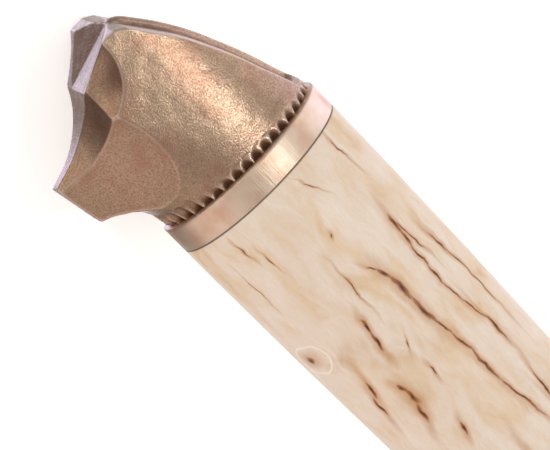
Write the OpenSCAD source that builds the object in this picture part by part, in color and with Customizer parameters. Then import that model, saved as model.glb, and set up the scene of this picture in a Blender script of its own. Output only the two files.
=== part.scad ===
// Fixed-blade knife with a birch handle and a cast animal-head pommel.
// It lies on its side: X runs along the knife to the blade tip, Y to the spine, Z is up.
// Inside place(), x = 0 is the joint between the end ring and the wood, on the knife's axis.

/* [Handle] */
// Length of the wooden handle
wood_len = 72; // [66:1:90]
// Height of the oval handle at the end ring, belly to spine
section_h = 29.7; // [28:0.1:31]
// Height of the oval handle at the front
front_h = 26; // [24:0.1:28]
// Width of every oval section as a share of its height
oval_ratio = 0.76; // [0.7:0.01:0.8]
// Fullness of the oval sections before their sides are cut flat
side_fullness = 1.04; // [1.03:0.01:1.05]

/* [End ring] */
// Thickness of the end ring along the knife
ring_t = 4.3; // [3.5:0.1:5]
// Radius of the ring's rounded edges
ring_edge = 0.5; // [0.2:0.1:0.8]

/* [Pommel] */
// Number of scalloped notches around the collar
notch_count = 40; // [30:1:48]
// Length of a notch along the knife
notch_len = 1.4; // [1:0.1:1.8]
// Width of a notch around the collar
notch_w = 1.84; // [1.6:0.02:1.86]
// Depth of a notch below the collar's surface
notch_depth = 0.6; // [0.3:0.1:0.9]
// Width of the rib along the head
rib_w = 2.6; // [2:0.1:3]
// Width of the rib's chamfers
rib_chamfer = 0.6; // [0.3:0.1:0.8]

/* [Front end] */
// Thickness of the spacer between wood and bolster
spacer_t = 1.5; // [1:0.1:2.5]
// Length of the bolster
bolster_len = 12; // [9:0.5:14]

/* [Blade] */
// Length of the blade in front of the bolster
blade_len = 110; // [90:1:120]
// Height of the blade, edge to spine
blade_h = 19.5; // [18:0.5:21]
// Height of the blade's spine above the knife's axis
spine_y = 10.5; // [9.5:0.1:10.5]
// Thickness of the blade
blade_t = 3.8; // [3:0.1:4.2]
// Radius of the curved stretch of the edge
belly_r = 72; // [60:1:80]
// Height of the ground bevel above the edge
bevel_h = 8.5; // [6:0.5:10]
// Height of the tang inside the handle
tang_h = 9; // [7:0.5:10]
// Thickness of the tang
tang_t = 3.4; // [2.6:0.1:3.5]
// Height of the tang's middle above the knife's axis
tang_y = 1; // [0:0.5:1.5]

/* [Fastening] */
// Diameter of the round end of the tang
rod_d = 6; // [5:0.5:6]
// Width of the nut across its flats
nut_af = 10; // [9:0.5:10]
// Thickness of the nut
nut_t = 5; // [4:0.5:5]
// Diameter of the washer
washer_d = 12; // [11:0.5:12]
// Thickness of the washer
washer_t = 1.2; // [1:0.1:1.5]
// Diameter of the two dowel pins
pin_d = 2.5; // [2:0.1:2.6]
// Length of the two dowel pins
pin_len = 13; // [10:0.5:13]
// Distance of each dowel pin from the knife's axis
pin_y = 9.2; // [9:0.1:9.5]
// How far the dowel pins reach into the head
pin_reach = 3.7; // [3:0.1:4]

/* [Hidden] */
$fn = 64;
fit_gap = 0.05;
end_r = section_h / 2;
front_r = front_h / 2;
half_w = end_r * oval_ratio;
loft_sides = 60;
side_step = 0.05;
spacer_x = wood_len;
bolster_x = spacer_x + spacer_t;
tang_x = 3;
shoulder_x = bolster_x + bolster_len;
tip_x = shoulder_x + blade_len;

// The head's landmarks, from the collar to the chin, as seen from the side
crown = [[-5, 13.3], [-8.6, 12], [-12.5, 10.5], [-16.4, 9.1], [-20.1, 7.5], [-23.7, 5.7], [-26.9, 3.6]];
brow_top = [-31.4, 0.4];
ear_corner = [-32.35, -1.1];
ear_tip = [-32.35, -3.4];
muzzle_top = [-27.8, -10];
nose = [[-26.3, -11], [-25, -12.2], [-23.1, -14.6], [-21.4, -17.7], [-20.3, -21.1]];
beard_tip = [-19.9, -22.1];
chin = [-12.3, -20.7];
throat = [[-11.6, -18.7], [-10.4, -16.9], [-9, -15.6], [-7.3, -14.7], [-5, -14.2]];
head_outline = concat(crown, [brow_top, ear_corner, ear_tip, muzzle_top], nose, [beard_tip, chin], throat);
// Sections of the head's outer barrel, and of the flare that hollows the throat under the collar
barrel = [[-34, 13.7, 10.4, 70], [-24, 13.9, 10.7, 45], [-18, 14.1, 10.8, 32], [-14, 14.2, 10.9, 25],
    [-10, 14.3, 10.9, 19.5], [-7, 14.3, 10.9, 16], [-4.9, 14.3, 10.9, 14.3]];
neck_flare = [[-36, 60, 60, 60], [-12.3, 24, 24, 24], [-11.6, 19, 20, 19], [-10.4, 17, 17.5, 17],
    [-9, 15.7, 14.5, 15.7], [-7.3, 14.8, 12.2, 14.8], [-4.9, 14.4, 10.9, 14.4]];
// Half the distance between the ear tips, and between the ends of the muzzle's ridge
ear_z = 10.4;
muzzle_z = 5.4;
rib_end = [-31.9, 0];
rib_line = [[-4.6, 14.6], [-8.6, 12.9], [-13.3, 11.4], [-17.9, 9.6], [-22.2, 7.7], [-26.2, 5.4],
    [-28.6, 3.7], [-30.9, 1.9], [-31.9, 0.2]];
rib_floor = [[-28, 0], [-6, 9]];
// Hollows in each side of the head: [centre, radius]
eye_hollow = [[-31.8, -12.65, 15.26], 10.35];
nose_hollow = [[-31.3, -23.9, 13.1], 16.25];
cheek_hollow = [[-14.6, -32.5, 35.2], 35];
collar_x = -ring_t;
collar_len = 2.6;
collar_step = 0.3;
recess_r = 7.2;
recess_len = 8.4;
nut_x = collar_x - washer_t - nut_t;
rod_x = nut_x - 1.5;
// How far the round end of the tang runs into its flat part
rod_lap = 0.9;

// Lowest, middle and top of the whole knife set its frame
x_mid = (ear_tip[0] + tip_x) / 2;
y_mid = (beard_tip[1] + end_r) / 2;

module place() {
    translate([-x_mid, -y_mid, half_w]) children();
}

// One section of a loft: place along the knife, then half sizes to the spine, to each side, to the belly
function even_oval(x, r) = [x, r, r * oval_ratio, r];

// A loft through such sections, from the lowest x to the highest; fuller sections are cut flat at each side
module loft(sections, fullness = 1) {
    sides = loft_sides;
    grow = 1 / cos(180 / sides);
    last = len(sections) - 1;
    points = [for (s = sections, i = [0:sides - 1]) let (t = 360 * (i + 0.5) / sides)
        [s[0], grow * cos(t) * (cos(t) > 0 ? s[1] : s[3]),
            s[2] * max(-1, min(1, fullness * grow * sin(t)))]];
    walls = [for (k = [0:last - 1], i = [0:sides - 1])
        let (j = (i + 1) % sides, a = k * sides, b = a + sides)
            each [[a + i, b + i, b + j], [a + i, b + j, a + j]]];
    back = [for (i = [0:sides - 1]) i];
    front = [for (i = [sides - 1:-1:0]) last * sides + i];
    polyhedron(points, concat(walls, [back, front]));
}

// A loft of ovals with flattened sides, on which the knife lies steady; points are [x, half of the height]
module oval(points) {
    loft([for (p = points) even_oval(p[0], p[1])], side_fullness);
}

module along_x(x, length, d) {
    translate([x, 0, 0]) rotate([0, 90, 0]) cylinder(h = length, d = d);
}

// The space for the flat part of the tang
module tang_slot(x, length) {
    translate([x, tang_y - tang_h / 2 - fit_gap, -tang_t / 2 - fit_gap])
        cube([length, tang_h + 2 * fit_gap, tang_t + 2 * fit_gap]);
}

module pins(gap) {
    for (side = [-1, 1])
        translate([0, side * pin_y, 0])
            along_x(collar_x - pin_reach - gap, pin_len + 2 * gap, pin_d + 2 * gap);
}

// Blade sections, from the shoulder to the tip; in the belly the edge and the bevel's line follow circles
tip_h = 0.15;
spine_land = 0.05;
edge_y = spine_y - blade_h;
belly_x = tip_x - sqrt((blade_h - tip_h) * (2 * belly_r - blade_h + tip_h));
function on_circle(x, r) = x < belly_x ? 0 : belly_r - sqrt(r * r - pow(x - belly_x, 2));
function from_edge(x, y) = x < belly_x ? y : belly_r - norm([x - belly_x, belly_r - y]);
function blade_section(x) = let (
    edge = on_circle(x, belly_r),
    bevel = x < belly_x ? bevel_h : min(blade_h - spine_land, on_circle(x, belly_r - bevel_h)),
    half = blade_t / 2 * min(1, from_edge(x, bevel) / bevel_h)
) [[x, edge, 0], [x, bevel, half], [x, blade_h, half], [x, blade_h, -half], [x, bevel, -half]];

module blade() {
    steps = 20;
    places = concat([shoulder_x], [for (i = [0:steps]) belly_x + i * (tip_x - belly_x) / steps]);
    last = len(places) - 1;
    points = [for (x = places) each blade_section(x)];
    walls = [for (k = [0:last - 1], i = [0:4]) let (j = (i + 1) % 5, a = k * 5, b = a + 5)
        each [[a + i, a + j, b + j], [a + i, b + j, b + i]]];
    ends = [[for (i = [4:-1:0]) i], [for (i = [0:4]) last * 5 + i]];
    color("silver") place() {
        translate([0, edge_y, 0]) polyhedron(points, concat(walls, ends));
        translate([tang_x, tang_y - tang_h / 2, -tang_t / 2])
            cube([shoulder_x - tang_x + 1, tang_h, tang_t]);
        along_x(rod_x, tang_x + rod_lap - rod_x, rod_d);
    }
}

module bolster() {
    r = front_r;
    color("darkgoldenrod") place() difference() {
        oval([[bolster_x, r - 0.4], [bolster_x + 0.4, r], [bolster_x + 4, r - 0.2],
            [shoulder_x - 1.2, r - 0.9], [shoulder_x, r - 2]]);
        tang_slot(bolster_x - 1, bolster_len + 2);
    }
}

module front_spacer() {
    color("saddlebrown") place() difference() {
        oval([[spacer_x, front_r], [bolster_x, front_r - 0.1]]);
        tang_slot(spacer_x - 1, spacer_t + 2);
    }
}

// Handle: a slow taper from the end ring to the front
function handle_r(x) = end_r - (end_r - front_r) * pow(x / wood_len, 1.6);
// The sides taper in a straight line just inside the ring, so the knife rests on its ring and bolster
function handle_side(x) = oval_ratio * (end_r - side_step - (end_r - front_r) * x / wood_len);

module handle() {
    steps = 9;
    color("wheat") place() difference() {
        loft([for (i = [0:steps]) let (x = i * wood_len / steps)
            [x, handle_r(x), handle_side(x), handle_r(x)]], side_fullness);
        tang_slot(tang_x - fit_gap, wood_len);
        along_x(-1, tang_x + 2, rod_d + 2 * fit_gap);
        pins(fit_gap / 2);
    }
}

module end_ring() {
    r = end_r;
    e = ring_edge;
    color("rosybrown") place() difference() {
        oval([[collar_x, r - e], [collar_x + 0.3 * e, r - 0.3 * e], [collar_x + e, r], [-e, r],
            [-0.3 * e, r - 0.3 * e], [0, r - e]]);
        along_x(collar_x - 1, ring_t + 2, rod_d + 2 * fit_gap);
        pins(fit_gap / 2);
    }
}

module washer() {
    color("gainsboro") place() difference() {
        along_x(collar_x - washer_t, washer_t, washer_d);
        along_x(collar_x - washer_t - 1, washer_t + 2, rod_d + 2 * fit_gap);
    }
}

module tang_nut() {
    color("gainsboro") place() difference() {
        translate([nut_x, 0, 0]) rotate([0, 90, 0]) cylinder(h = nut_t, d = nut_af / cos(30), $fn = 6);
        along_x(nut_x - 1, nut_t + 2, rod_d + 2 * fit_gap);
    }
}

module dowel_pins() {
    color("gainsboro") place() pins(0);
}

// Cuts away what lies in front of the forehead and of the two ear faces
module half_space(a, b, c) {
    n = cross(b - a, c - a);
    u = n / norm(n);
    turn = acos(u[2]);
    translate(a) rotate(turn, [-u[1], u[0], 0]) translate([-60, -60, 0]) cube([120, 120, 60]);
}

module face_cut() {
    end_p = [rib_end[0], rib_end[1], rib_w / 2];
    ear = [ear_tip[0], ear_tip[1], ear_z];
    nose_p = [muzzle_top[0], muzzle_top[1], muzzle_z];
    middle = [muzzle_top[0], muzzle_top[1], 0];
    top_mid = [rib_end[0], rib_end[1], 0];
    intersection() {
        half_space(nose_p, ear, end_p);
        mirror([0, 0, 1]) half_space(nose_p, ear, end_p);
        half_space(middle, nose_p, top_mid);
        translate([-60, -11.5, -60]) cube([120, 60, 120]);
    }
}

module hollow(h) {
    for (side = [0, 1])
        mirror([0, 0, side]) translate(h[0]) sphere(r = h[1], $fn = 120);
}

module rib() {
    shape = concat(rib_line, rib_floor);
    translate([0, 0, -rib_w / 2 + rib_chamfer])
        linear_extrude(rib_w - 2 * rib_chamfer) polygon(shape);
    translate([0, -rib_chamfer, -rib_w / 2]) linear_extrude(rib_w) polygon(shape);
}

module notches() {
    r = notch_w / 2;
    even = 90 / PI * (end_r - half_w) / (end_r + half_w);
    for (i = [0:notch_count - 1]) {
        turn = 360 * (i + 0.5) / notch_count;
        t = turn + even * sin(2 * turn);
        out = atan2(sin(t) * end_r, cos(t) * half_w);
        translate([collar_x, end_r * cos(t), half_w * sin(t)]) rotate([out, 0, 0])
            translate([-notch_len + r, -notch_depth - collar_step, 0]) rotate([-90, 0, 0]) {
                cylinder(h = 4, r = r);
                translate([0, -r, 0]) cube([4, 2 * r, 4]);
            }
    }
}

module pommel() {
    color("peru") place() difference() {
        union() {
            difference() {
                intersection() {
                    translate([0, 0, -20]) linear_extrude(40) polygon(head_outline);
                    loft(neck_flare);
                    loft(barrel);
                }
                face_cut();
                hollow(eye_hollow);
                hollow(nose_hollow);
                hollow(cheek_hollow);
            }
            rib();
            oval([[collar_x - collar_len, end_r - 1.4], [collar_x - collar_len + 0.5, end_r - 0.7],
                [collar_x - 1.2, end_r - 0.4], [collar_x, end_r - collar_step]]);
        }
        notches();
        along_x(collar_x - recess_len, recess_len + 1, 2 * recess_r);
        pins(fit_gap / 2);
    }
}

blade();
bolster();
front_spacer();
handle();
end_ring();
washer();
tang_nut();
dowel_pins();
pommel();
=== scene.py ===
import math

import bmesh
import bpy
import numpy as np
from mathutils import Matrix, Vector


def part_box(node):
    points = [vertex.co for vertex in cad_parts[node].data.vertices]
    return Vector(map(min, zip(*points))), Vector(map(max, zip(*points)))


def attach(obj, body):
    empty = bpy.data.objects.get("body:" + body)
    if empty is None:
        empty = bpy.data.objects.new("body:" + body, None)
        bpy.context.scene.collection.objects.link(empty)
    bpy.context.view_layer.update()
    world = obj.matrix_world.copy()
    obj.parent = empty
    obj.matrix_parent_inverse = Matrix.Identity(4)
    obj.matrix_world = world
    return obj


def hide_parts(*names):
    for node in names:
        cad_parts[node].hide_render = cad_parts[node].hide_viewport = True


bl_info = {
    "name": "Birch Knife",
    "version": (1, 0, 0),
    "blender": (4, 5, 0),
    "location": "View3D > Sidebar > Knife",
    "description": "Builds the shown pieces of a birch-handled knife with a cast animal-head pommel",
    "category": "Object",
}

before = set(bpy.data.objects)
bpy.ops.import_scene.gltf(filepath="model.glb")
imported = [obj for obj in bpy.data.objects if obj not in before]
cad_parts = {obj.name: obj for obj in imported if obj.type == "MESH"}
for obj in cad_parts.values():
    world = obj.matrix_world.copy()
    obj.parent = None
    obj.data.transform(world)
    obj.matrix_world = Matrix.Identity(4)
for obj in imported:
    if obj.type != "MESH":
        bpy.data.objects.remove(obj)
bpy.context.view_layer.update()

MM = 0.001
RING_LOW, RING_HIGH = [Vector(corner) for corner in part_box("end_ring")]
# The knife's own origin: on its axis, where the end ring meets the wood
JOINT = Vector((RING_HIGH.x, (RING_LOW.y + RING_HIGH.y) / 2, (RING_LOW.z + RING_HIGH.z) / 2))
RING_T = (RING_HIGH.x - RING_LOW.x) / MM
END_R = (RING_HIGH.y - RING_LOW.y) / 2 / MM
END_W = (RING_HIGH.z - RING_LOW.z) / 2 / MM
OVAL = END_W / END_R


def reach(node):
    """The stretch of the knife's axis that a CAD node covers, in millimetres from the joint."""
    low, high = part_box(node)
    return (low[0] - JOINT.x) / MM, (high[0] - JOINT.x) / MM


WOOD_LEN = reach("handle")[1]
FRONT_R = (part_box("front_spacer")[1][1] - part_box("front_spacer")[0][1]) / 2 / MM
SPACER_X = reach("front_spacer")
BOLSTER_X = reach("bolster")
TIP_X = reach("blade")[1]
BLADE_LOW = (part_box("blade")[0][1] - JOINT.y) / MM
BLADE_H = (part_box("blade")[1][1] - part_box("blade")[0][1]) / MM
COLLAR_X = -RING_T
BLADE_T = 3.8
# The hole that the tang passes through, and in the head the nut's recess and the holes of the two dowel pins
TANG_HOLE_R = 3.05
RECESS_DEPTH, RECESS_R = 8.4, 7.2
PIN_DEPTH, PIN_HOLE_R, PIN_Y = 3.7, 1.3, 9.2
# A cutting bar stands this far out of the face that it cuts into
PAST_FACE = 0.6

# Landmarks of the head in millimetres from the joint, seen from the side, from the collar to the chin
CROWN = [(-4.6, 13.4), (-8.6, 12.0), (-12.5, 10.5), (-16.4, 9.1), (-20.1, 7.5), (-23.7, 5.7), (-26.9, 3.6),
         (-31.4, 0.4)]
EAR = [(-32.35, -1.1), (-32.35, -3.4)]
NOSE = [(-27.8, -10.0), (-26.3, -11.0), (-25.0, -12.2), (-23.1, -14.6), (-21.4, -17.7), (-20.3, -21.1),
        (-19.9, -22.1)]
THROAT = [(-12.3, -20.7), (-11.6, -18.7), (-10.4, -16.9), (-9.0, -15.6), (-7.3, -14.7), (-4.6, -14.2)]
EAR_Z = 10.4
MUZZLE_Z = 5.4
RIB_TOP = [(-4.5, 14.5), (-8.6, 12.9), (-13.3, 11.4), (-17.9, 9.6), (-22.2, 7.7), (-26.2, 5.4), (-28.6, 3.7),
           (-30.9, 1.9), (-31.9, 0.2)]
RIB_FLOOR = [(-28.0, 0.0), (-5.5, 9.0)]
RIB_END = Vector((-31.9, 0.0, 1.3))
# How far the notched edge stands inside the ring, and the length and depth of a notch at the ring
COLLAR_STEP = 0.7
SIDE_STEP = 0.05
NOTCH_LEN = 1.7
NOTCH_DEPTH = 0.75
# Sections of lofts: place along the knife, then half sizes to the spine, to each side and to the belly
BARREL = [(-36, 13.7, 10.2, 75), (-30, 13.8, 10.45, 60), (-24, 13.9, 10.7, 45), (-20, 14.0, 10.82, 36),
          (-16, 14.1, 10.88, 28), (-12.5, 14.2, 10.86, 22), (-10, 14.2, 10.78, 18.5), (-8, 14.2, 10.66, 16.4),
          (-6.2, 14.2, 10.5, 15), (-4.5, 14.2, 10.3, 14.2)]
NECK_FLARE = [(-40, 60, 60, 60), (-12.3, 24, 24, 24), (-11.6, 19, 20, 19), (-10.4, 17, 17.5, 17),
              (-9, 15.7, 14.5, 15.7), (-7.3, 14.8, 12.2, 14.8), (-4.5, 14.4, 10.95, 14.4)]
# A ridge this far proud of its smoothed surface is worn bright; a hollow this deep gets full patina and
# painted shade
RIDGE_RISE = 0.07
HOLLOW_SINK = 0.25
# Hollows of the eye, the nose and the cheek: centre and radius
HOLLOWS = [((-31.8, -12.65, 15.26), 10.35), ((-31.3, -23.9, 13.1), 16.25), ((-14.6, -32.5, 35.2), 35.0)]


def linear(colour):
    """An sRGB hex colour as linear RGBA."""
    parts = [int(colour[i:i + 2], 16) / 255 for i in (1, 3, 5)]
    return tuple(c / 12.92 if c <= 0.04045 else ((c + 0.055) / 1.055) ** 2.4 for c in parts) + (1.0,)


def srgb(colour):
    """A colour property's default from an sRGB hex colour."""
    return linear(colour)[:3]


class KnifeSizes(bpy.types.PropertyGroup):
    """Sizes that can be changed, in millimetres"""
    voxel: bpy.props.FloatProperty(
        name="Casting detail", description="Width of the grid that the cast head is remeshed on", default=0.2,
        min=0.15, max=0.5)
    notch_count: bpy.props.IntProperty(
        name="Notches", description="Scalloped notches around the collar", default=40, min=20, max=60)
    notch_r: bpy.props.FloatProperty(
        name="Notch radius", description="Radius of the gouge that cuts a notch", default=1.03, min=0.5,
        max=1.2)
    rib_w: bpy.props.FloatProperty(
        name="Rib width", description="Width of the rib along the head", default=2.6, min=2.0, max=3.0)
    ring_edge: bpy.props.FloatProperty(
        name="Ring edge", description="Radius of the end ring's edges", default=0.4, min=0.1, max=0.8)
    bevel_h: bpy.props.FloatProperty(
        name="Blade bevel", description="Height of the ground bevel above the edge", default=8.5, min=6.0,
        max=10.0)
    belly_r: bpy.props.FloatProperty(
        name="Belly radius", description="Radius of the curved stretch of the edge", default=72.0, min=60.0,
        max=80.0)


class KnifeColours(bpy.types.PropertyGroup):
    """Colours that can be changed"""
    bronze: bpy.props.FloatVectorProperty(
        name="Cast bronze", description="Colour of the head", subtype="COLOR", default=srgb("#BFA48F"),
        min=0.0, max=1.0)
    ring: bpy.props.FloatVectorProperty(
        name="Ring bronze", description="Colour of the end ring and bolster", subtype="COLOR",
        default=srgb("#F4DFCC"), min=0.0, max=1.0)
    birch: bpy.props.FloatVectorProperty(
        name="Birch", description="Ground colour of the wood", subtype="COLOR", default=srgb("#EADBCA"),
        min=0.0, max=1.0)
    streak: bpy.props.FloatVectorProperty(
        name="Streaks", description="Colour of the wood's dark streaks", subtype="COLOR",
        default=srgb("#2E120A"), min=0.0, max=1.0)
    steel: bpy.props.FloatVectorProperty(
        name="Steel", description="Colour of the blade", subtype="COLOR", default=srgb("#B9BBBD"), min=0.0,
        max=1.0)


def fill(tree, node, inputs):
    """Set a node's inputs to values, or link them to sockets."""
    for name, value in inputs.items():
        socket = node.inputs[name]
        if isinstance(value, bpy.types.NodeSocket):
            tree.links.new(value, socket)
        else:
            socket.default_value = value


def add_node(tree, kind, inputs=None, stops=None, **settings):
    """Add a shader node, set its properties, fill its inputs with values or sockets, and its colour stops."""
    node = tree.nodes.new("ShaderNode" + kind)
    for name, value in settings.items():
        setattr(node, name, value)
    fill(tree, node, inputs or {})
    if stops:
        ramp = node.color_ramp.elements
        while len(ramp) < len(stops):
            ramp.new(0.5)
        for element, (place, colour) in zip(ramp, stops):
            element.position = place
            element.color = colour if len(colour) == 4 else (*colour, 1.0)
    return node


def new_material(name):
    """An empty node material with its tree, its Object coordinates in millimetres and its shader."""
    material = bpy.data.materials.new(name)
    material.use_nodes = True
    tree = material.node_tree
    tree.nodes.clear()
    coords = add_node(tree, "TexCoord")
    place = add_node(tree, "Mapping", {"Vector": coords.outputs["Object"], "Location": tuple(-JOINT / MM),
                                       "Scale": (1 / MM,) * 3})
    shader = add_node(tree, "BsdfPrincipled")
    add_node(tree, "OutputMaterial", {"Surface": shader.outputs["BSDF"]})
    return material, tree, place.outputs["Vector"], shader


def bronze_head(colours):
    """The head's finish: patina and painted shade by depth, worn ridges, and the tumbled grain as roughness
    and bump.
    """
    material, tree, mm, shader = new_material("tumbled_cast_bronze")
    ridge = add_node(tree, "Attribute", attribute_name="ridge")
    hollow = add_node(tree, "Attribute", attribute_name="hollow")
    # Pits of the casting, drawn 0.25 mm wide so that they show
    grain = add_node(tree, "TexNoise", {"Vector": mm, "Scale": 4.0, "Detail": 2.0, "Roughness": 0.6})
    cloud = add_node(tree, "TexNoise", {"Vector": mm, "Scale": 0.16, "Detail": 3.0, "Roughness": 0.55})
    patches = add_node(tree, "ValToRGB", {"Fac": cloud.outputs["Fac"]}, stops=[
        (0.34, linear("#B38C77")), (0.5, tuple(colours.bronze)), (0.68, linear("#B8A187"))])
    speckle = add_node(tree, "MapRange", {"Value": grain.outputs["Fac"], "From Min": 0.34, "From Max": 0.6})
    grained = add_node(tree, "MixRGB", {"Fac": speckle.outputs["Result"], "Color1": linear("#9D836F"),
                                        "Color2": patches.outputs["Color"]})
    # Hollows turn darker: real patina, and painted shade of the recesses
    dark = add_node(tree, "MixRGB", {"Fac": hollow.outputs["Fac"], "Color1": grained.outputs["Color"],
                                     "Color2": linear("#6A5040")})
    pale = add_node(tree, "MixRGB", {"Fac": ridge.outputs["Fac"], "Color1": dark.outputs["Color"],
                                     "Color2": linear("#D8C6B8")})
    rough = add_node(tree, "MapRange", {"Value": grain.outputs["Fac"], "From Min": 0.3, "From Max": 0.65,
                                        "To Min": 0.42, "To Max": 0.3})
    # The hand-finished surface rolls gently, 2 to 3 mm from swell to swell
    swell = add_node(tree, "TexNoise", {"Vector": mm, "Scale": 0.4, "Detail": 1.0})
    rolling = add_node(tree, "Bump", {"Height": swell.outputs["Fac"], "Strength": 0.3, "Distance": 0.35 * MM})
    bump = add_node(tree, "Bump", {"Height": grain.outputs["Fac"], "Strength": 0.38, "Distance": 0.12 * MM,
                                   "Normal": rolling.outputs["Normal"]})
    fill(tree, shader, {"Base Color": pale.outputs["Color"], "Roughness": rough.outputs["Result"],
                        "Normal": bump.outputs["Normal"], "Metallic": 1.0})
    return material


def satin_bronze(colours, name):
    """Turned bronze, brushed along the knife: rosy and pale, its gloss spread round the ring."""
    material, tree, mm, shader = new_material(name)
    # Brush marks lie along the knife; drawn 0.25 mm apart so that they show
    lines = add_node(tree, "Mapping", {"Vector": mm, "Scale": (0.25, 4.0, 4.0)})
    brushing = add_node(tree, "TexNoise", {"Vector": lines.outputs["Vector"], "Scale": 1.0, "Detail": 3.0})
    cloud = add_node(tree, "TexNoise", {"Vector": mm, "Scale": 0.22, "Detail": 3.0})
    tone = add_node(tree, "ValToRGB", {"Fac": cloud.outputs["Fac"]}, stops=[
        (0.35, linear("#EBCBB4")), (0.52, tuple(colours.ring)), (0.68, linear("#FAEADA"))])
    bump = add_node(tree, "Bump", {"Height": brushing.outputs["Fac"], "Strength": 0.35, "Distance": 0.1 * MM})
    rough = add_node(tree, "MapRange", {"Value": brushing.outputs["Fac"], "To Min": 0.42, "To Max": 0.58})
    around = add_node(tree, "Tangent", direction_type="RADIAL", axis="X")
    fill(tree, shader, {"Base Color": tone.outputs["Color"], "Roughness": rough.outputs["Result"],
                        "Normal": bump.outputs["Normal"], "Tangent": around.outputs["Tangent"],
                        "Metallic": 1.0, "Anisotropic": 0.6, "Anisotropic Rotation": 0.25})
    return material


# Dark streaks of the wood: half width, then places along the knife and across it, in millimetres
STREAKS = [
    (0.45, [(19.5, 1.8), (21.5, 2.4), (26.0, 2.5), (31.0, 2.6)]),
    (0.2, [(18.0, 1.0), (19.8, 1.9)]),
    (0.24, [(30.5, 2.6), (34.0, 3.1), (38.0, 3.5), (44.0, 3.5), (52.0, 4.5)]),
    (0.3, [(15.5, 8.6), (18.5, 8.3), (21.0, 8.0)]),
    (0.2, [(20.5, 8.0), (25.0, 7.5), (28.5, 7.5), (32.0, 7.6), (36.0, 8.5), (41.0, 8.5)]),
    (0.16, [(17.0, 8.7), (19.5, 8.9), (22.5, 9.1)]),
    (0.26, [(22.0, 11.0), (26.0, 11.5)]),
    (0.16, [(25.5, 11.5), (30.5, 11.6), (36.0, 11.5)]),
    (0.3, [(23.2, -4.8), (25.5, -5.2), (28.5, -5.6)]),
    (0.28, [(30.8, -10.3), (33.5, -10.9), (36.8, -11.6)]),
    (0.34, [(34.0, -7.6), (35.5, -7.0), (38.0, -7.2), (41.0, -8.2)]),
    (0.2, [(35.0, -2.5), (36.7, -2.6)]),
    (0.24, [(44.3, -4.9), (46.5, -5.6)]),
    (0.13, [(2.8, -10.0), (5.2, -9.6)]),
    (0.09, [(6.3, -8.2), (8.6, -8.0)]),
    (0.13, [(10.5, 0.6), (11.2, 0.4)]),
    (0.13, [(1.5, 10.1), (5.6, 10.5)]),
    (0.09, [(2.6, 3.0), (4.8, 4.0)]),
    (0.1, [(29.6, -2.2), (30.9, -2.9)]),
    (0.07, [(8.0, -12.2), (12.0, -12.0)]),
    (0.12, [(16.5, -2.4), (21.0, -2.6)]),
    (0.7, [(22.9, -13.6), (24.2, -13.2)]),
    (0.22, [(47.0, 8.0), (53.0, 7.0), (58.0, 7.4)]),
    (0.3, [(55.0, -1.0), (60.0, -1.6), (64.0, -1.2)]),
    (0.2, [(50.0, -9.0), (54.0, -9.6)]),
    (0.2, [(62.0, 5.0), (67.0, 5.6)]),
]
# Tan stains round the knot and the flecks: place along and across the knife, radius, strength
STAINS = [
    (3.0, 3.0, 3.4, 0.35), (18.5, -3.6, 3.2, 0.4), (12.5, 9.0, 2.8, 0.2), (25.6, -10.4, 3.8, 0.8),
    (28.0, -5.5, 4.2, 0.6), (31.5, -2.8, 2.6, 0.5), (37.0, -7.5, 3.6, 0.45), (33.0, 1.0, 3.4, 0.25),
    (52.0, 6.0, 5.0, 0.3),
]
# The knot: its place, and the radius of the pale ring round it
KNOT = (23.8, -13.3)
KNOT_RING = 2.7
# The same kind of streaks on the side that lies down
BACK_STREAKS = [
    (0.4, [(8.0, 5.0), (12.0, 4.2), (17.0, 4.4), (22.0, 3.4)]),
    (0.22, [(14.0, -3.0), (20.0, -3.6), (27.0, -3.2), (34.0, -4.2)]),
    (0.3, [(28.0, 8.0), (32.0, 8.8), (37.0, 8.4)]),
    (0.35, [(40.0, 1.0), (45.0, 0.2), (51.0, 0.8), (56.0, 0.0)]),
    (0.26, [(44.0, -9.0), (48.0, -9.8), (53.0, -9.2)]),
    (0.2, [(60.0, 6.0), (66.0, 5.2)]),
    (0.25, [(4.0, -9.0), (9.0, -9.8)]),
]


def wood_r(x):
    """Half the height of the oval handle at a place along it."""
    return END_R - (END_R - FRONT_R) * (max(x, 0.0) / WOOD_LEN) ** 1.6


def wood_side(x):
    """Half the width of the handle, which tapers in a straight line just inside the ring."""
    return OVAL * (END_R - SIDE_STEP - (END_R - FRONT_R) * max(x, 0.0) / WOOD_LEN)


def on_wood(x, y, side):
    """A point on the handle's surface and the tilt of the surface there about the knife's axis."""
    r = wood_r(x)
    flat = wood_side(x) / r
    y = max(-r, min(r, y))
    z = flat * math.sqrt(max(r * r - y * y, 0.0))
    return Vector((x, y, side * z)), -side * math.atan2(y * flat * flat, max(z, 0.01))


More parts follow.
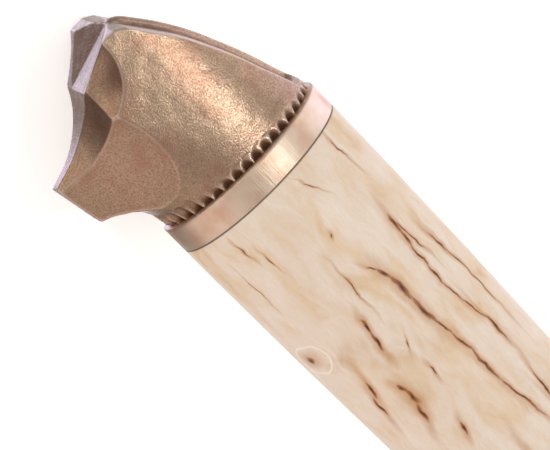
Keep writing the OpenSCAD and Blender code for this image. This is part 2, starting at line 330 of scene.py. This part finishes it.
def curly_birch(colours):
    """Oiled curly birch: cream ground, faint orange clouds, and dark flecks with a rusty halo."""
    material, tree, mm, shader = new_material("oiled_curly_birch")
    wander = add_node(tree, "TexNoise", {"Vector": mm, "Scale": 0.35, "Detail": 2.0})
    shift = add_node(tree, "VectorMath", {0: wander.outputs["Color"], 1: (0.5, 0.5, 0.5)},
                     operation="SUBTRACT")
    small = add_node(tree, "VectorMath", {0: shift.outputs["Vector"], "Scale": 1.3}, operation="SCALE")
    bent = add_node(tree, "VectorMath", {0: mm, 1: small.outputs["Vector"]}, operation="ADD")
    nearest = None
    for side, streaks in ((1, STREAKS), (-1, BACK_STREAKS)):
        for half_width, places in streaks:
            # A lone fleck keeps to its length, and the parts of a long streak overlap
            stretch = 0.42 if len(places) == 2 else 0.52
            for start, end in zip(places, places[1:]):
                middle, tilt = on_wood((start[0] + end[0]) / 2, (start[1] + end[1]) / 2, side)
                run = math.dist(start, end)
                turn = math.atan2(end[1] - start[1], end[0] - start[0])
                local = add_node(tree, "Mapping", {
                    "Vector": bent.outputs["Vector"], "Location": middle, "Rotation": (tilt, 0.0, turn),
                    "Scale": (run * stretch, half_width * 0.8, 1.6)}, vector_type="TEXTURE")
                away = add_node(tree, "VectorMath", {0: local.outputs["Vector"]}, operation="LENGTH")
                if nearest is None:
                    nearest = away.outputs["Value"]
                else:
                    nearest = add_node(tree, "Math", {0: nearest, 1: away.outputs["Value"]},
                                       operation="MINIMUM").outputs["Value"]
    frayed = add_node(tree, "Mapping", {"Vector": mm, "Scale": (0.5, 3.0, 3.0)})
    fray = add_node(tree, "TexNoise", {"Vector": frayed.outputs["Vector"], "Scale": 1.2, "Detail": 3.0})
    edge = add_node(tree, "Math", {0: fray.outputs["Fac"], 1: 0.9, 2: nearest}, operation="MULTIPLY_ADD")
    core = add_node(tree, "MapRange", {"Value": edge.outputs["Value"], "From Min": 1.15, "From Max": 1.85,
                                       "To Min": 1.0, "To Max": 0.0}, interpolation_type="SMOOTHSTEP")
    core_tone = add_node(tree, "ValToRGB", {"Fac": edge.outputs["Value"]}, stops=[
        (0.5, tuple(colours.streak)), (0.75, linear("#5E2D17")), (1.0, linear("#9C5F30"))])
    halo = add_node(tree, "MapRange", {"Value": edge.outputs["Value"], "From Min": 1.2, "From Max": 5.0,
                                       "To Min": 0.6, "To Max": 0.0}, interpolation_type="SMOOTHSTEP")
    # Annual rings and curl show as soft bands a few millimetres wide, drawn out along the grain
    long_grain = add_node(tree, "Mapping", {"Vector": bent.outputs["Vector"], "Scale": (0.1, 0.26, 0.26)})
    clouds = add_node(tree, "TexNoise", {"Vector": long_grain.outputs["Vector"], "Scale": 1.0, "Detail": 4.0,
                                         "Distortion": 0.8})
    ground = add_node(tree, "ValToRGB", {"Fac": clouds.outputs["Fac"]}, stops=[
        (0.3, linear("#EFE4D8")), (0.5, tuple(colours.birch)), (0.64, linear("#E6CFB2")),
        (0.76, linear("#DBBB98"))])
    fine = add_node(tree, "Mapping", {"Vector": bent.outputs["Vector"], "Scale": (0.5, 6.0, 6.0)})
    pores = add_node(tree, "TexNoise", {"Vector": fine.outputs["Vector"], "Scale": 1.0, "Detail": 3.0})
    pore_tone = add_node(tree, "MapRange", {"Value": pores.outputs["Fac"], "From Min": 0.35, "From Max": 0.7,
                                            "To Min": 0.0, "To Max": 0.16})
    grained = add_node(tree, "MixRGB", {"Fac": pore_tone.outputs["Result"], "Color1": ground.outputs["Color"],
                                        "Color2": linear("#C79A6E")})
    stained = grained.outputs["Color"]
    for x, y, radius, strength in STAINS:
        away = add_node(tree, "VectorMath", {0: bent.outputs["Vector"], 1: on_wood(x, y, 1)[0]},
                        operation="DISTANCE")
        share = add_node(tree, "MapRange", {"Value": away.outputs["Value"], "From Min": radius, "To Min": 0.0,
                                            "From Max": 0.0, "To Max": strength})
        patchy = add_node(tree, "MapRange", {"Value": clouds.outputs["Fac"], "From Min": 0.4,
                                             "From Max": 0.62})
        amount = add_node(tree, "Math", {0: share.outputs["Result"], 1: patchy.outputs["Result"]},
                          operation="MULTIPLY")
        stained = add_node(tree, "MixRGB", {"Fac": amount.outputs["Value"], "Color1": stained,
                                            "Color2": linear("#C08F55")}).outputs["Color"]
    from_knot = add_node(tree, "VectorMath", {0: bent.outputs["Vector"], 1: on_wood(*KNOT, 1)[0]},
                         operation="DISTANCE")
    pale_ring = add_node(tree, "MapRange", {"Value": from_knot.outputs["Value"], "From Min": KNOT_RING - 0.25,
                                            "From Max": KNOT_RING, "To Max": 0.75})
    past_ring = add_node(tree, "MapRange", {"Value": from_knot.outputs["Value"], "From Min": KNOT_RING,
                                            "From Max": KNOT_RING + 0.3, "To Min": 1.0, "To Max": 0.0})
    ring_line = add_node(tree, "Math", {0: pale_ring.outputs["Result"], 1: past_ring.outputs["Result"]},
                         operation="MULTIPLY")
    knotted = add_node(tree, "MixRGB", {"Fac": ring_line.outputs["Value"], "Color1": stained,
                                        "Color2": linear("#FBF4EA")})
    rusty = add_node(tree, "MixRGB", {"Fac": halo.outputs["Result"], "Color1": knotted.outputs["Color"],
                                      "Color2": linear("#C08A58")})
    streaked = add_node(tree, "MixRGB", {"Fac": core.outputs["Result"], "Color1": rusty.outputs["Color"],
                                         "Color2": core_tone.outputs["Color"]})
    # Painted shade of the small gap against the ring, a dark band 0.2 mm wide
    along = add_node(tree, "SeparateXYZ", {"Vector": mm})
    joint = add_node(tree, "MapRange", {"Value": along.outputs["X"], "From Min": 0.12, "From Max": 0.3,
                                        "To Min": 0.85, "To Max": 0.0})
    gap_shaded = add_node(tree, "MixRGB", {"Fac": joint.outputs["Result"], "Color1": streaked.outputs["Color"],
                                        "Color2": linear("#3B2418")})
    bump = add_node(tree, "Bump", {"Height": pores.outputs["Fac"], "Strength": 0.08, "Distance": 0.05 * MM})
    # Worn oil leaves a faint pale bloom, seen at a low angle
    fill(tree, shader, {"Base Color": gap_shaded.outputs["Color"], "Normal": bump.outputs["Normal"],
                        "Roughness": 0.5, "IOR": 1.5, "Sheen Weight": 0.42, "Sheen Roughness": 0.4,
                        "Sheen Tint": linear("#E6E2F2")})
    return material


def ground_steel(colours, name):
    """Carbon steel, ground: fine scratches from spine to edge."""
    material, tree, mm, shader = new_material(name)
    stretch = add_node(tree, "Mapping", {"Vector": mm, "Scale": (7.0, 0.25, 1.0)})
    scratches = add_node(tree, "TexNoise", {"Vector": stretch.outputs["Vector"], "Scale": 1.0, "Detail": 4.0})
    cloud = add_node(tree, "TexNoise", {"Vector": mm, "Scale": 0.12, "Detail": 2.0})
    tone = add_node(tree, "ValToRGB", {"Fac": cloud.outputs["Fac"]}, stops=[
        (0.35, linear("#A9ACAF")), (0.65, tuple(colours.steel))])
    rough = add_node(tree, "MapRange", {"Value": scratches.outputs["Fac"], "To Min": 0.2, "To Max": 0.42})
    bump = add_node(tree, "Bump", {"Height": scratches.outputs["Fac"], "Strength": 0.15,
                                   "Distance": 0.03 * MM})
    fill(tree, shader, {"Base Color": tone.outputs["Color"], "Roughness": rough.outputs["Result"],
                        "Normal": bump.outputs["Normal"], "Metallic": 1.0})
    return material


def pressed_leather():
    """Pressed leather washers, oiled: dark brown, with a fine pebble and thin layer lines."""
    material, tree, mm, shader = new_material("pressed_leather")
    layers = add_node(tree, "TexWave", {"Vector": mm, "Scale": 0.7, "Distortion": 1.5, "Detail": 2.0},
                      bands_direction="X")
    pebble = add_node(tree, "TexVoronoi", {"Vector": mm, "Scale": 2.2})
    tone = add_node(tree, "ValToRGB", {"Fac": layers.outputs["Fac"]}, stops=[
        (0.2, linear("#3A2218")), (0.8, linear("#5C3A28"))])
    bump = add_node(tree, "Bump", {"Height": pebble.outputs["Distance"], "Strength": 0.4,
                                   "Distance": 0.08 * MM})
    fill(tree, shader, {"Base Color": tone.outputs["Color"], "Normal": bump.outputs["Normal"],
                        "Roughness": 0.62})
    return material


def studio_white():
    """Pale paper sweep that gives a little light of its own, so that shadows on it stay faint."""
    material, tree, mm, shader = new_material("studio_sweep")
    fibres = add_node(tree, "TexNoise", {"Vector": mm, "Scale": 0.05})
    tone = add_node(tree, "ValToRGB", {"Fac": fibres.outputs["Fac"]}, stops=[
        (0.0, linear("#F4F4F4")), (1.0, linear("#F8F8F8"))])
    fill(tree, shader, {"Base Color": tone.outputs["Color"], "Roughness": 0.9,
                        "Emission Color": linear("#FFFFFF"), "Emission Strength": 0.5})
    return material


# Walls of the light tent: their own tint, then patches on them, each with its direction, how far it reaches
# as a cosine, and its brightness and tint
TENT_WALLS = (0.42, 0.39, 0.36, 1.0)
TENT_PATCHES = [
    ((-0.9, -0.4, -0.1), 0.55, (1.1, 1.0, 0.9)),
    ((-0.2, -0.93, -0.3), 0.7, (0.14, 0.1, 0.1)),
    ((0.3, -0.85, 0.42), 0.6, (0.9, 0.74, 0.68)),
    ((-0.6, -0.3, -0.74), 0.85, (0.17, 0.12, 0.07)),
    ((0.3, 0.15, -0.94), 0.88, (2.4, 2.3, 2.6)),
    ((-0.28, -0.02, -0.95), 0.965, (2.4, 2.5, 3.5)),
    ((0.1, 0.9, -0.35), 0.74, (1.6, 1.5, 1.8)),
    ((0.1, 0.85, 0.5), 0.7, (0.5, 0.46, 0.44)),
]
# Soft lights: name, place in metres from the joint, width in metres, power in watts, colour, and whether the
# metal mirrors it
SOFTBOXES = [
    ("overhead", (0.128, 0.205, 0.53), 0.09, 0.76, "#FFFEF8", True),
    ("spine_side", (0.0, 0.6, 0.22), 0.3, 0.45, "#FFF8F8", True),
    ("fill", (-0.1, -0.2, 0.8), 1.8, 2.75, "#FFFDFC", False),
]
# The camera before it rolls: its right follows the knife's length and its up follows the spine
VIEW_ALONG = Vector((0.966, -0.0248, 0.2576))
VIEW_SPINE = Vector((0.0, 0.995, 0.0958))
# Cosine and sine of the roll, which makes the knife run down to the right
ROLL_COS, ROLL_SIN = 0.7009, 0.7133
# Where the camera aims, in millimetres right of and below the joint, and the width that it sees there
AIM_RIGHT, AIM_BELOW = 2.486, 6.957
VIEW_WIDTH = 78.57
VIEW_DISTANCE = 0.9


def tent_light(world):
    """The light tent that the metal mirrors: dim walls with soft paler and darker patches."""
    world.use_nodes = True
    tree = world.node_tree
    tree.nodes.clear()
    coords = add_node(tree, "TexCoord")
    walls = TENT_WALLS
    for direction, reach_to, tint in TENT_PATCHES:
        facing = add_node(tree, "VectorMath", {0: coords.outputs["Generated"],
                                               1: Vector(direction).normalized()}, operation="DOT_PRODUCT")
        share = add_node(tree, "MapRange", {"Value": facing.outputs["Value"], "From Min": reach_to,
                                            "From Max": 1.0}, interpolation_type="SMOOTHSTEP")
        walls = add_node(tree, "MixRGB", {"Fac": share.outputs["Result"], "Color1": walls,
                                          "Color2": (*tint, 1.0)}).outputs["Color"]
    back = add_node(tree, "Background", {"Color": walls, "Strength": 1.0})
    add_node(tree, "OutputWorld", {"Surface": back.outputs["Background"]})


def scene_object(name, bm):
    """A linked object with the shape in bm, which is freed."""
    mesh = bpy.data.meshes.new(name)
    bm.to_mesh(mesh)
    bm.free()
    piece = bpy.data.objects.new(name, mesh)
    bpy.context.scene.collection.objects.link(piece)
    return piece


def finish_piece(piece, material, slot, *nodes):
    """Put a piece made in millimetres from the joint into the frame, give it its material, and hide the CAD
    parts that it stands for.
    """
    piece.data.transform(Matrix.Translation(JOINT) @ Matrix.Scale(MM, 4))
    piece.data.materials.clear()
    piece.data.materials.append(material)
    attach(piece, "root")
    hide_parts(*nodes)


def smooth_shade(piece, angle):
    """Shade a piece smooth, with hard edges where its faces meet more sharply than the angle."""
    piece.data.shade_smooth()
    piece.data.set_sharp_from_angle(angle=math.radians(angle))


def bake_modifiers(piece):
    """Give a piece the mesh that its modifiers make, and drop them."""
    bpy.context.view_layer.update()
    shaped = piece.evaluated_get(bpy.context.evaluated_depsgraph_get())
    mesh = bpy.data.meshes.new_from_object(shaped)
    old = piece.data
    piece.modifiers.clear()
    piece.data = mesh
    bpy.data.meshes.remove(old)


def combine(piece, bm, operation):
    """Join, cut or intersect a piece with the shape in bm."""
    tool = scene_object("tool", bm)
    step = piece.modifiers.new(operation, "BOOLEAN")
    step.operation = operation
    step.solver = "MANIFOLD"
    step.object = tool
    bake_modifiers(piece)
    bpy.data.objects.remove(tool)


def curve_through(points, steps=6):
    """More points on a smooth curve through the given ones."""
    path = [Vector(p) for p in points]
    path = [2 * path[0] - path[1], *path, 2 * path[-1] - path[-2]]
    out = []
    for a, b, c, d in zip(path, path[1:], path[2:], path[3:]):
        for i in range(steps):
            t = i / steps
            out.append(0.5 * (2 * b + (c - a) * t + (2 * a - 5 * b + 4 * c - d) * t ** 2
                              + (3 * b - a - 3 * c + d) * t ** 3))
    out.append(path[-2])
    return [tuple(p) for p in out]


def prism(outline, half_depth):
    """A plate with that outline, centred on the blade's plane."""
    bm = bmesh.new()
    face = bm.faces.new([bm.verts.new((x, y, -half_depth)) for x, y in outline])
    raised = bmesh.ops.extrude_face_region(bm, geom=[face])["geom"]
    bmesh.ops.translate(bm, verts=[v for v in raised if isinstance(v, bmesh.types.BMVert)],
                        vec=(0, 0, 2 * half_depth))
    bmesh.ops.recalc_face_normals(bm, faces=bm.faces)
    return bm


def loft(sections, sides=144):
    """A skin through oval sections; each is a place along the knife, then its spine, side and belly radii."""
    bm = bmesh.new()
    verts = bmesh.ops.create_circle(bm, cap_ends=True, radius=1.0, segments=sides)["verts"]
    for v in verts:
        v.co = Vector((0.0, v.co.y, v.co.x))
    cap = bm.faces[:][0]
    last = (0, 1.0, 1.0, 1.0)
    for step, section in enumerate(sections):
        if step:
            grown = bmesh.ops.extrude_face_region(bm, geom=[cap, *cap.edges])["geom"]
            verts = [g for g in grown if isinstance(g, bmesh.types.BMVert)]
            cap = [g for g in grown if isinstance(g, bmesh.types.BMFace)][0]
        for v in verts:
            kind = 1 if v.co.y > 0 else 3
            v.co = Vector((section[0], v.co.y / last[kind] * section[kind], v.co.z / last[2] * section[2]))
        last = section
    bmesh.ops.recalc_face_normals(bm, faces=bm.faces)
    return bm


def oval(points, sides=144):
    """A loft of plain ovals; each point is a place along the knife and half the oval's height."""
    return loft([(x, r, r * OVAL, r) for x, r in points], sides)


def rod(start, length, radius, height=0.0, sides=32):
    """A round bar along the knife, at a height above its axis."""
    bm = bmesh.new()
    bmesh.ops.create_cone(bm, cap_ends=True, segments=sides, radius1=radius, radius2=radius, depth=length)
    bmesh.ops.rotate(bm, verts=bm.verts, matrix=Matrix.Rotation(math.pi / 2, 3, "Y"))
    bmesh.ops.translate(bm, verts=bm.verts, vec=(start + length / 2, height, 0))
    return bm


def keep_side(bm, point, normal):
    """Cut a closed convex shape by a plane and keep the part behind it."""
    geom = bm.verts[:] + bm.edges[:] + bm.faces[:]
    bmesh.ops.bisect_plane(bm, geom=geom, plane_co=point, plane_no=normal, clear_outer=True)
    bmesh.ops.holes_fill(bm, edges=[e for e in bm.edges if e.is_boundary])


def face_block():
    """What lies in front of the forehead and of both ear faces."""
    ear = Vector((*EAR[1], EAR_Z))
    muzzle = Vector((*NOSE[0], MUZZLE_Z))
    ear_normal = (ear - RIB_END).cross(muzzle - RIB_END).normalized()
    middle_normal = Vector((0, 0, 1)).cross(Vector((*NOSE[0], 0)) - RIB_END).normalized()
    # The block reaches down only to the nose, so that the cheeks below it stay whole
    bm = bmesh.new()
    bmesh.ops.create_cube(bm, size=60.0)
    bmesh.ops.translate(bm, verts=bm.verts, vec=(-40.0, 18.5, 0.0))
    for point, normal in ((RIB_END, ear_normal), (RIB_END, ear_normal * Vector((1, 1, -1))),
                          (Vector((*NOSE[0], 0)), middle_normal)):
        outward = normal if normal.x > 0 else -normal
        keep_side(bm, point, outward)
    bmesh.ops.recalc_face_normals(bm, faces=bm.faces)
    return bm


def notch_tools(count, radius, first):
    """Every second gouge round the collar; each slopes down to the ring, where its cut is deepest."""
    bm = bmesh.new()
    even = (END_R - END_W) / (END_R + END_W) / 2
    slope = math.atan2(NOTCH_DEPTH, NOTCH_LEN)
    for i in range(first, count, 2):
        turn = math.tau * (i + 0.5) / count
        t = turn + even * math.sin(2 * turn)
        out = math.atan2(math.sin(t) * END_R, math.cos(t) * END_W)
        gouge = bmesh.ops.create_cone(bm, cap_ends=True, segments=32, radius1=radius, radius2=radius,
                                      depth=4.0)["verts"]
        bmesh.ops.rotate(bm, verts=gouge, matrix=Matrix.Rotation(math.pi / 2 + slope, 3, "Y"))
        bmesh.ops.translate(bm, verts=gouge, vec=(COLLAR_X - NOTCH_LEN / 2 + radius * math.sin(slope), 0.0,
                                                  radius * math.cos(slope) - NOTCH_DEPTH / 2))
        bmesh.ops.rotate(bm, verts=gouge, matrix=Matrix.Rotation(-math.pi / 2, 3, "X"))
        bmesh.ops.rotate(bm, verts=gouge, matrix=Matrix.Rotation(out, 3, "X"))
        bmesh.ops.translate(bm, verts=gouge, vec=(0.0, (END_R - COLLAR_STEP) * math.cos(t),
                                                  (END_W - COLLAR_STEP) * math.sin(t)))
    return bm


def store(mesh, name, values):
    """Write one number per point as an attribute."""
    layer = mesh.attributes.new(name, "FLOAT", "POINT")
    layer.data.foreach_set("value", np.clip(values, 0.0, 1.0).astype(np.float32))


def wear_marks(mesh):
    """Mark ridges and hollows, from how far each point stands off a smoothed copy of the surface."""
    count = len(mesh.vertices)
    points = np.empty(count * 3)
    mesh.vertices.foreach_get("co", points)
    points = points.reshape(-1, 3)
    normals = np.empty(count * 3)
    mesh.vertex_normals.foreach_get("vector", normals)
    normals = normals.reshape(-1, 3)
    pairs = np.empty(len(mesh.edges) * 2, dtype=np.int64)
    mesh.edges.foreach_get("vertices", pairs)
    a, b = pairs.reshape(-1, 2).T
    shares = np.bincount(a, minlength=count) + np.bincount(b, minlength=count)

    def relax(values, rounds):
        for _ in range(rounds):
            values = np.stack([np.bincount(a, column[b], count) + np.bincount(b, column[a], count)
                               for column in values.T], axis=1) / shares[:, None]
        return values

    near = relax(points, 6)
    far = relax(near, 70)
    narrow = np.einsum("ij,ij->i", points - near, normals)
    wide = np.einsum("ij,ij->i", near - far, normals)
    ridge = relax((narrow / RIDGE_RISE)[:, None], 1)[:, 0] - 0.35
    # The ridge between nose and cheek fades out on its way down to the chin
    x, y, z = points.T
    lower = np.clip((-14.5 - y) / 3.0, 0, 1) * (np.abs(z) > 5.8) * (x < -20.5)
    store(mesh, "ridge", ridge * (1 - lower))
    # The notches hold the most patina and painted shade: their depth is measured from the collar's oval
    level = np.hypot(y, z / OVAL)
    notched = np.clip((x - COLLAR_X + NOTCH_LEN + 0.3) / 0.6, 0, 1)
    notched *= np.clip((END_R - COLLAR_STEP - 0.2 - level) / 0.4, 0, 1) * (np.abs(normals[:, 0]) < 0.9)
    # Deep hollows get patina and painted shade too
    store(mesh, "hollow", np.maximum(relax((-wide / HOLLOW_SINK)[:, None], 2)[:, 0] - 0.15,
                                     relax(notched[:, None], 1)[:, 0]))


class KNIFE_OT_pommel(bpy.types.Operator):
    """Cast the head: cut it from a barrel, hollow its faces, add the rib and collar, and cut the notches"""
    bl_idname = "knife.pommel"
    bl_label = "Pommel"

    def execute(self, context):
        sizes = context.scene.knife_sizes
        outline = curve_through(CROWN) + EAR + curve_through(NOSE) + curve_through(THROAT)
        head = scene_object("pommel_head", prism(outline, 20.0))
        combine(head, loft(BARREL), "INTERSECT")
        combine(head, loft(NECK_FLARE), "INTERSECT")
        combine(head, face_block(), "DIFFERENCE")
        for (x, y, z), radius in HOLLOWS:
            for side in (1, -1):
                ball = bmesh.new()
                bmesh.ops.create_icosphere(ball, subdivisions=6, radius=radius)
                bmesh.ops.translate(ball, verts=ball.verts, vec=(x, y, side * z))
                combine(head, ball, "DIFFERENCE")
        rib_line = curve_through(RIB_TOP) + RIB_FLOOR
        lower = [(x, y - 0.6) for x, y in rib_line]
        combine(head, prism(lower, sizes.rib_w / 2), "UNION")
        combine(head, prism(rib_line, sizes.rib_w / 2 - 0.6), "UNION")
        r = END_R - COLLAR_STEP
        combine(head, oval([(COLLAR_X - 3.4, r - 1.6), (COLLAR_X - 2.8, r - 0.6), (COLLAR_X - 1.6, r - 0.1),
                            (COLLAR_X, r)]), "UNION")
        for first in (0, 1):
            combine(head, notch_tools(sizes.notch_count, sizes.notch_r, first), "DIFFERENCE")
        remesh = head.modifiers.new("grid", "REMESH")
        remesh.mode = "VOXEL"
        remesh.voxel_size = sizes.voxel
        relax = head.modifiers.new("relax", "SMOOTH")
        relax.factor = 0.5
        relax.iterations = 3
        bake_modifiers(head)
        wear_marks(head.data)
        # The recess for the nut and the pin holes face the ring, and are cut last
        combine(head, rod(COLLAR_X - RECESS_DEPTH, RECESS_DEPTH + PAST_FACE, RECESS_R), "DIFFERENCE")
        for height in (PIN_Y, -PIN_Y):
            combine(head, rod(COLLAR_X - PIN_DEPTH, PIN_DEPTH + PAST_FACE, PIN_HOLE_R, height), "DIFFERENCE")
        smooth_shade(head, 75)
        finish_piece(head, bronze_head(context.scene.knife_colours), "bronze", "pommel")
        return {"FINISHED"}


class KNIFE_OT_end_ring(bpy.types.Operator):
    """Make the plain end ring between the wood and the head"""
    bl_idname = "knife.end_ring"
    bl_label = "End ring"

    def execute(self, context):
        e = context.scene.knife_sizes.ring_edge
        arc = [(e - e * math.cos(t), -e + e * math.sin(t)) for t in (0, math.pi / 8, math.pi / 4,
                                                                     3 * math.pi / 8, math.pi / 2)]
        back = [(COLLAR_X + x, END_R + y) for x, y in arc]
        front = [(-x * 0.4, END_R + y * 0.4) for x, y in reversed(arc)]
        ring = scene_object("bronze_end_ring", oval(back + front, sides=192))
        combine(ring, rod(COLLAR_X - 1, RING_T + 2, TANG_HOLE_R), "DIFFERENCE")
        smooth_shade(ring, 50)
        finish_piece(ring, satin_bronze(context.scene.knife_colours, "satin_bronze"), "ring_bronze",
                     "end_ring")
        return {"FINISHED"}


class KNIFE_OT_handle(bpy.types.Operator):
    """Turn the oval birch handle with its slow taper"""
    bl_idname = "knife.handle"
    bl_label = "Handle"

    def execute(self, context):
        steps = 48
        # Both ends are eased by 0.15 mm
        ease = 0.15
        profile = [(0.0, wood_r(0.0) - ease), (ease, wood_r(0.0) - ease / 4)]
        profile += [(WOOD_LEN * i / steps, wood_r(WOOD_LEN * i / steps)) for i in range(1, steps)]
        profile += [(WOOD_LEN - ease, FRONT_R), (WOOD_LEN, FRONT_R - ease)]
        skin = loft([(x, r, r * wood_side(x) / wood_r(x), r) for x, r in profile], sides=192)
        handle = scene_object("birch_handle", skin)
        combine(handle, rod(-1, 5, TANG_HOLE_R), "DIFFERENCE")
        smooth_shade(handle, 40)
        finish_piece(handle, curly_birch(context.scene.knife_colours), "birch", "handle")
        return {"FINISHED"}


class KNIFE_OT_front_end(bpy.types.Operator):
    """Make the leather spacer and the bronze bolster"""
    bl_idname = "knife.front_end"
    bl_label = "Front end"

    def execute(self, context):
        colours = context.scene.knife_colours
        start, end = SPACER_X
        r = FRONT_R
        spacer = scene_object("leather_spacer", oval([(start, r - 0.25), (start + 0.2, r - 0.05),
                                                      (end - 0.2, r - 0.1), (end, r - 0.3)]))
        smooth_shade(spacer, 50)
        finish_piece(spacer, pressed_leather(), "leather", "front_spacer")
        start, end = BOLSTER_X
        profile = [(start, r - 0.35), (start + 0.1, r - 0.12), (start + 0.35, r)]
        profile += [(start + 4.0, r - 0.2), (end - 3.0, r - 0.6)]
        profile += [(end - 1.8, r - 0.85), (end - 0.8, r - 1.3), (end - 0.2, r - 1.85), (end, r - 2.4)]
        bolster = scene_object("bronze_bolster", oval(profile, sides=192))
        smooth_shade(bolster, 50)
        finish_piece(bolster, satin_bronze(colours, "satin_bronze_front"), "bronze", "bolster")
        return {"FINISHED"}


class KNIFE_OT_blade(bpy.types.Operator):
    """Grind the blade: flat sides, a long bevel to the edge and a curved belly up to the tip"""
    bl_idname = "knife.blade"
    bl_label = "Blade"

    def execute(self, context):
        sizes = context.scene.knife_sizes
        start = BOLSTER_X[1]
        half = BLADE_T / 2
        radius, bevel_h = sizes.belly_r, sizes.bevel_h
        # The tip is left 0.15 mm blunt
        rise = BLADE_H - 0.15
        belly_x = TIP_X - math.sqrt(rise * (2 * radius - rise))
        steps = 40
        places = [start, belly_x] + [belly_x + (TIP_X - belly_x) * i / steps for i in range(1, steps + 1)]
        bm = bmesh.new()
        cap = None
        for x in places:
            over = max(x - belly_x, 0.0)
            edge = radius - math.sqrt(radius ** 2 - over ** 2)
            bevel = min(BLADE_H - 0.05, radius - math.sqrt((radius - bevel_h) ** 2 - over ** 2))
            deep = radius - math.hypot(over, radius - bevel)
            side = half * min(1.0, deep / bevel_h)
            section = [(edge, 0.0), (bevel, side), (BLADE_H, side), (BLADE_H, -side), (bevel, -side)]
            places_3d = [Vector((x, y + BLADE_LOW, z)) for y, z in section]
            if cap is None:
                cap = bm.faces.new([bm.verts.new(p) for p in places_3d])
                last = places_3d
            else:
                grown = bmesh.ops.extrude_face_region(bm, geom=[cap, *cap.edges])["geom"]
                cap = [g for g in grown if isinstance(g, bmesh.types.BMFace)][0]
                for v in cap.verts:
                    nearest = min(range(5), key=lambda i: (v.co - last[i]).length)
                    v.co = places_3d[nearest]
                last = places_3d
        bmesh.ops.recalc_face_normals(bm, faces=bm.faces)
        blade = scene_object("ground_blade", bm)
        smooth_shade(blade, 12)
        finish_piece(blade, ground_steel(context.scene.knife_colours, "ground_carbon_steel"), "steel",
                     "blade")
        return {"FINISHED"}


class KNIFE_OT_fasteners(bpy.types.Operator):
    """Finish the washer, nut and dowel pins, which keep their CAD shapes"""
    bl_idname = "knife.fasteners"
    bl_label = "Fasteners"

    def execute(self, context):
        material = ground_steel(context.scene.knife_colours, "plain_steel")
        for name in ("washer", "tang_nut", "dowel_pins"):
            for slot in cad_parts[name].material_slots:
                slot.material = material
        return {"FINISHED"}


class KNIFE_OT_stage(bpy.types.Operator):
    """Set the floor, the soft lights and the camera"""
    bl_idname = "knife.stage"
    bl_label = "Stage"

    def execute(self, context):
        scene = context.scene
        bm = bmesh.new()
        bmesh.ops.create_grid(bm, x_segments=2, y_segments=2, size=3.0)
        floor = scene_object("floor", bm)
        floor.data.materials.append(studio_white())
        # The metal mirrors the tent in place of the floor
        floor.visible_glossy = False
        # The camera looks down on the knife, a little from its pommel end
        right = (ROLL_COS * VIEW_ALONG + ROLL_SIN * VIEW_SPINE).normalized()
        up = ROLL_COS * VIEW_SPINE - ROLL_SIN * VIEW_ALONG
        up = (up - right * up.dot(right)).normalized()
        back = right.cross(up)
        camera = bpy.data.cameras.new("camera")
        camera.lens = camera.sensor_width * VIEW_DISTANCE / (VIEW_WIDTH * MM)
        camera.clip_end = 20.0
        view = bpy.data.objects.new("camera", camera)
        turn = Matrix((right, up, back)).transposed().to_4x4()
        aim = JOINT + (right * AIM_RIGHT - up * AIM_BELOW) * MM
        view.matrix_world = Matrix.Translation(aim + back * VIEW_DISTANCE) @ turn
        scene.collection.objects.link(view)
        scene.camera = view
        for name, place, size, power, tint, mirrored in SOFTBOXES:
            lamp = bpy.data.lights.new(name, "AREA")
            lamp.size = size
            lamp.energy = power
            lamp.color = linear(tint)[:3]
            light = bpy.data.objects.new(name, lamp)
            spot = JOINT + Vector(place)
            aim_at = (JOINT - spot).to_track_quat("-Z", "Y").to_matrix().to_4x4()
            light.matrix_world = Matrix.Translation(spot) @ aim_at
            light.visible_glossy = mirrored
            scene.collection.objects.link(light)
        scene.world = bpy.data.worlds.new("studio")
        tent_light(scene.world)
        scene.view_settings.view_transform = "Standard"
        return {"FINISHED"}


BUILD_STEPS = (KNIFE_OT_pommel, KNIFE_OT_end_ring, KNIFE_OT_handle, KNIFE_OT_front_end, KNIFE_OT_blade,
               KNIFE_OT_fasteners, KNIFE_OT_stage)


class KNIFE_PT_panel(bpy.types.Panel):
    """Lists the sizes, the colours and the steps"""
    bl_label = "Knife"
    bl_space_type = "VIEW_3D"
    bl_region_type = "UI"
    bl_category = "Knife"

    def draw(self, context):
        for group in (context.scene.knife_sizes, context.scene.knife_colours):
            for name in group.__annotations__:
                self.layout.prop(group, name)
        for step in BUILD_STEPS:
            self.layout.operator(step.bl_idname)


CLASSES = (KnifeSizes, KnifeColours, *BUILD_STEPS, KNIFE_PT_panel)


def register():
    for cls in CLASSES:
        bpy.utils.register_class(cls)
    bpy.types.Scene.knife_sizes = bpy.props.PointerProperty(type=KnifeSizes)
    bpy.types.Scene.knife_colours = bpy.props.PointerProperty(type=KnifeColours)


def unregister():
    del bpy.types.Scene.knife_sizes
    del bpy.types.Scene.knife_colours
    for cls in reversed(CLASSES):
        bpy.utils.unregister_class(cls)


def main():
    register()
    for step in BUILD_STEPS:
        group, name = step.bl_idname.split(".")
        getattr(getattr(bpy.ops, group), name)()


if __name__ == "__main__":
    main()
